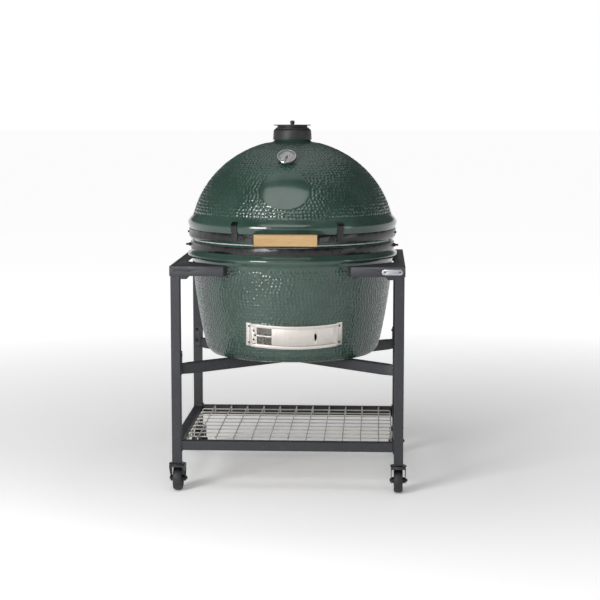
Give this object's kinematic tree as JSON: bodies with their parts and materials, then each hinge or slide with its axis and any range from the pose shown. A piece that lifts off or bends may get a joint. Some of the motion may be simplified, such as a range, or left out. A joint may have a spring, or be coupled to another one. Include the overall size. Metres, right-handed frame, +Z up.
{
  "type": "kamado grill",
  "caption": "Ceramic kamado charcoal grill in a castored steel frame, with a hinged dome, vent cap, sliding draft door and wire shelf.",
  "frame": {"origin": "on the floor under the upright axis of the ceramic body", "axes": "+Z up, -Y towards the front with the handle and draft door, +X to the right seen from the front"},
  "size_m": [0.919, 0.982, 1.42],
  "materials": {
    "frame_powder": "satin powder coat",
    "bracket_black": "satin powder coat",
    "bolt_black": "black oxide",
    "pad_rubber": "matt",
    "shelf_wire": "bright drawn wire",
    "badge_plate": "satin",
    "castor_zinc": "black coated",
    "castor_tread": "smooth",
    "castor_pedal": "smooth",
    "green_glaze": "glossy dimpled glaze",
    "raw_ceramic": "unglazed",
    "grate_iron": "as cast, seasoned",
    "grid_steel": "brushed",
    "felt_grey": "felt",
    "band_black": "semi-gloss black",
    "bolt_steel": "plain",
    "bezel_chrome": "polished",
    "dial_face": "printed, matt",
    "needle_black": "matt",
    "lens_glass": "clear",
    "grip_wood": "oiled bamboo"
  },
  "bodies": {
    "stand": {"legs_front": "frame_powder", "legs_rear": "frame_powder", "top_plate_left": "frame_powder", "top_plate_right": "frame_powder", "lip_gussets": "frame_powder", "cross_beam_long": "frame_powder", "cross_beam_halves": "frame_powder", "rails_front_rear": "frame_powder", "rails_sides": "frame_powder", "leg_brackets": "bracket_black", "rail_end_plates": "bracket_black", "shelf_ledges": "bracket_black", "bracket_bolts": "bolt_black", "support_pads": "pad_rubber", "wire_shelf": "shelf_wire", "name_badge": "badge_plate", "badge_rivets": "badge_plate", "castor_sockets": "castor_zinc", "ceramic_base": "green_glaze", "firebox": "raw_ceramic", "fire_ring": "raw_ceramic", "fire_grate": "grate_iron", "cooking_grid": "grid_steel", "draft_frame": "grid_steel", "draft_screws": "grid_steel", "base_gasket": "felt_grey", "lower_band": "band_black", "hinge_lower_bracket": "band_black", "lower_band_bolts": "bolt_steel", "hinge_pin": "bolt_steel", "hinge_springs": "bolt_steel"},
    "dome": {"ceramic_dome": "green_glaze", "dome_gasket": "felt_grey", "upper_band": "band_black", "upper_band_bolts": "bolt_steel", "thermometer_case": "bezel_chrome", "thermometer_dial": "dial_face", "thermometer_lens": "lens_glass", "handle_brackets": "band_black", "handle_bolts": "bolt_steel", "handle_grip": "grip_wood", "band_clips": "band_black", "hinge_upper_bracket": "band_black", "vent_collar": "grate_iron"},
    "needle": {"thermometer_needle": "needle_black"},
    "slider": {"vent_slider": "grate_iron"},
    "wheel_vent": {"vent_wheel": "grate_iron"},
    "door": {"draft_door": "grid_steel"},
    "screen": {"draft_screen": "grid_steel", "draft_mesh": "grid_steel"},
    "swivel_front_left": {"castor_fork_front_left": "castor_zinc"},
    "roller_front_left": {"castor_wheel_front_left": "castor_tread"},
    "swivel_front_right": {"castor_fork_front_right": "castor_zinc"},
    "roller_front_right": {"castor_wheel_front_right": "castor_tread"},
    "swivel_rear_left": {"castor_fork_rear_left": "castor_zinc"},
    "roller_rear_left": {"castor_wheel_rear_left": "castor_tread"},
    "swivel_rear_right": {"castor_fork_rear_right": "castor_zinc"},
    "roller_rear_right": {"castor_wheel_rear_right": "castor_tread"},
    "brake_front_left": {"brake_pedal_front_left": "castor_pedal"},
    "brake_front_right": {"brake_pedal_front_right": "castor_pedal"}
  },
  "joints": [
    {"name": "dome_hinge", "type": "hinge", "parent": "stand", "child": "dome", "pos_m": [0, 0.485, 0.96], "axis": [-1, 0, 0], "range_deg": [0, 80]},
    {"name": "vent_slider_pivot", "type": "hinge", "parent": "dome", "child": "slider", "pos_m": [0.044, 0.044, 1.39], "axis": [0, 0, 1], "range_deg": [0, 100]},
    {"name": "vent_wheel_turn", "type": "hinge", "parent": "slider", "child": "wheel_vent", "pos_m": [0, 0, 1.4], "axis": [0, 0, 1], "range_deg": [-27, 45]},
    {"name": "thermometer_needle_turn", "type": "hinge", "parent": "dome", "child": "needle", "pos_m": [-0.008, -0.24696, 1.28146], "axis": [0, 0.6428, -0.766], "range_deg": [0, 300]},
    {"name": "draft_door_slide", "type": "hinge", "parent": "stand", "child": "door", "pos_m": [0.00023, -0.00301, 0.67541], "axis": [0.0147, -0.1954, 0.9806], "range_deg": [-10, 5]},
    {"name": "draft_screen_slide", "type": "hinge", "parent": "stand", "child": "screen", "pos_m": [0.00023, -0.00301, 0.67541], "axis": [0.0147, -0.1954, 0.9806], "range_deg": [0, 10]},
    {"name": "swivel_front_left_turn", "type": "hinge", "parent": "stand", "child": "swivel_front_left", "pos_m": [-0.425, -0.359, 0.1], "axis": [0, 0, 1], "continuous": true},
    {"name": "roller_front_left_spin", "type": "hinge", "parent": "swivel_front_left", "child": "roller_front_left", "pos_m": [-0.425, -0.332, 0.048], "axis": [1, 0, 0], "continuous": true},
    {"name": "swivel_front_right_turn", "type": "hinge", "parent": "stand", "child": "swivel_front_right", "pos_m": [0.425, -0.359, 0.1], "axis": [0, 0, 1], "continuous": true},
    {"name": "roller_front_right_spin", "type": "hinge", "parent": "swivel_front_right", "child": "roller_front_right", "pos_m": [0.425, -0.332, 0.048], "axis": [1, 0, 0], "continuous": true},
    {"name": "swivel_rear_left_turn", "type": "hinge", "parent": "stand", "child": "swivel_rear_left", "pos_m": [-0.425, 0.359, 0.1], "axis": [0, 0, 1], "continuous": true},
    {"name": "roller_rear_left_spin", "type": "hinge", "parent": "swivel_rear_left", "child": "roller_rear_left", "pos_m": [-0.425, 0.386, 0.048], "axis": [1, 0, 0], "continuous": true},
    {"name": "swivel_rear_right_turn", "type": "hinge", "parent": "stand", "child": "swivel_rear_right", "pos_m": [0.425, 0.359, 0.1], "axis": [0, 0, 1], "continuous": true},
    {"name": "roller_rear_right_spin", "type": "hinge", "parent": "swivel_rear_right", "child": "roller_rear_right", "pos_m": [0.425, 0.386, 0.048], "axis": [1, 0, 0], "continuous": true},
    {"name": "brake_front_left_press", "type": "hinge", "parent": "swivel_front_left", "child": "brake_front_left", "pos_m": [-0.425, -0.315, 0.098], "axis": [-1, 0, 0], "range_deg": [0, 12]},
    {"name": "brake_front_right_press", "type": "hinge", "parent": "swivel_front_right", "child": "brake_front_right", "pos_m": [0.425, -0.315, 0.098], "axis": [-1, 0, 0], "range_deg": [0, 12]}
  ]
}
